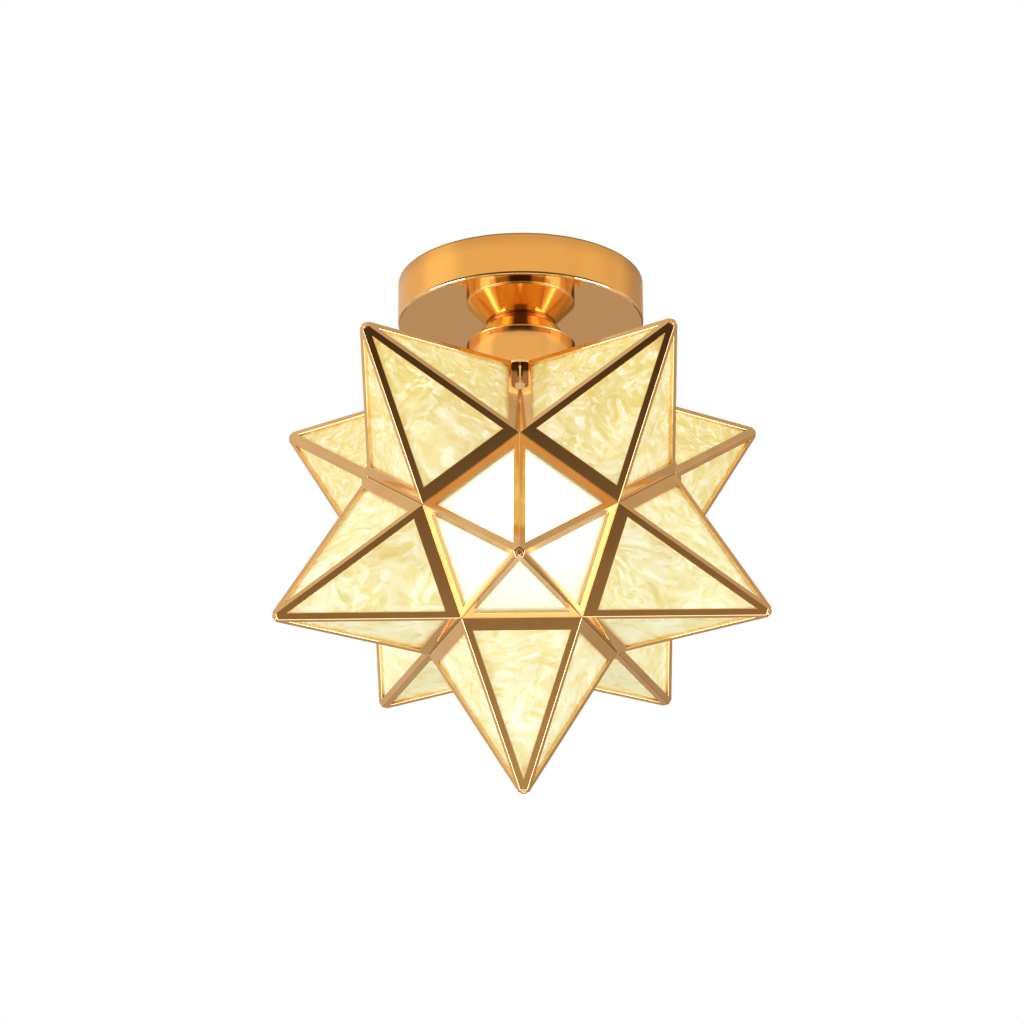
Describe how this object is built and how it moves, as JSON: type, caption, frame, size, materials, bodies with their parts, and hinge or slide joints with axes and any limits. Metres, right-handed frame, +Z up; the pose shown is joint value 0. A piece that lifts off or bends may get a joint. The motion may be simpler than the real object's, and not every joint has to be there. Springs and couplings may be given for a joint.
{
  "type": "semi-flush ceiling light",
  "caption": "Semi-flush ceiling light: a pointed star of brass-framed cream glass pyramids, hung from a round canopy by a holder cup, with a screw-in bulb inside.",
  "frame": {"origin": "centre of the ceiling plane, midway between the bracket's two slots", "axes": "+Z up into the ceiling; the light hangs down -Z; one lower star point faces -Y"},
  "size_m": [0.2406, 0.2528, 0.2699],
  "materials": {
    "polished_brass": "polished gold",
    "cream_glass": "cream art glass with whitish swirls, lit from inside",
    "zinc_steel": "zinc plated",
    "green_screw": "green dyed",
    "contact_brass": "plain",
    "porcelain": "white glaze",
    "white_phenolic": "satin",
    "black_plastic": "matte",
    "orange_plastic": "satin",
    "black_insulation": "satin",
    "white_insulation": "satin",
    "green_insulation": "satin",
    "lamp_metal": "bright",
    "black_glass": "gloss",
    "bulb_glass": "clear",
    "lamp_rods": "glowing"
  },
  "bodies": {
    "root": {"canopy": "polished_brass", "neck_collar": "polished_brass", "holder_cup": "polished_brass", "cover_plate": "polished_brass", "plate_studs": "polished_brass", "jam_nuts": "polished_brass", "ceiling_bracket": "zinc_steel", "hanging_nipple": "zinc_steel", "bracket_nut": "zinc_steel", "canopy_nut": "zinc_steel", "cup_lock_nut": "zinc_steel", "socket_strap": "zinc_steel", "strap_nut": "zinc_steel", "strap_screws": "zinc_steel", "ground_screw": "green_screw", "screw_shell": "contact_brass", "centre_contact": "contact_brass", "terminal_screws": "contact_brass", "socket_body": "porcelain", "shade_ring": "white_phenolic", "wire_bushings": "black_plastic", "wire_connectors": "orange_plastic", "live_wire": "black_insulation", "neutral_wire": "white_insulation", "ground_wire": "green_insulation"},
    "star": {"frame_bottom": "polished_brass", "frame_lower_1": "polished_brass", "frame_lower_2": "polished_brass", "frame_lower_3": "polished_brass", "frame_lower_4": "polished_brass", "frame_lower_5": "polished_brass", "frame_upper_1": "polished_brass", "frame_upper_2": "polished_brass", "frame_upper_3": "polished_brass", "frame_upper_4": "polished_brass", "frame_upper_5": "polished_brass", "panes_bottom": "cream_glass", "panes_lower_1": "cream_glass", "panes_lower_2": "cream_glass", "panes_lower_3": "cream_glass", "panes_lower_4": "cream_glass", "panes_lower_5": "cream_glass", "panes_upper_1": "cream_glass", "panes_upper_2": "cream_glass", "panes_upper_3": "cream_glass", "panes_upper_4": "cream_glass", "panes_upper_5": "cream_glass", "tip_beads": "polished_brass", "top_ring": "polished_brass", "corner_tabs": "polished_brass", "cap_nuts": "polished_brass"},
    "bulb_thread": {"bulb_contact": "lamp_metal"},
    "bulb": {"bulb_insulator": "black_glass", "bulb_cap": "lamp_metal", "bulb_globe": "bulb_glass", "bulb_stem": "bulb_glass", "bulb_filaments": "lamp_rods"}
  },
  "joints": [
    {"name": "star_lowering", "type": "slide", "parent": "root", "child": "star", "axis": [0, 0, -1], "range_m": [0, 0.12]},
    {"name": "bulb_travel", "type": "slide", "parent": "root", "child": "bulb_thread", "axis": [0, 0, -1], "range_m": [0, 0.01815]},
    {"name": "bulb_turn", "type": "hinge", "parent": "bulb_thread", "child": "bulb", "pos_m": [0, 0, -0.049], "axis": [0, 0, -1], "range_deg": [0, 1800]}
  ],
  "couplings": [
    {"joint": "bulb_travel", "follows": "bulb_turn", "m_per_rad": 0.00057757}
  ]
}
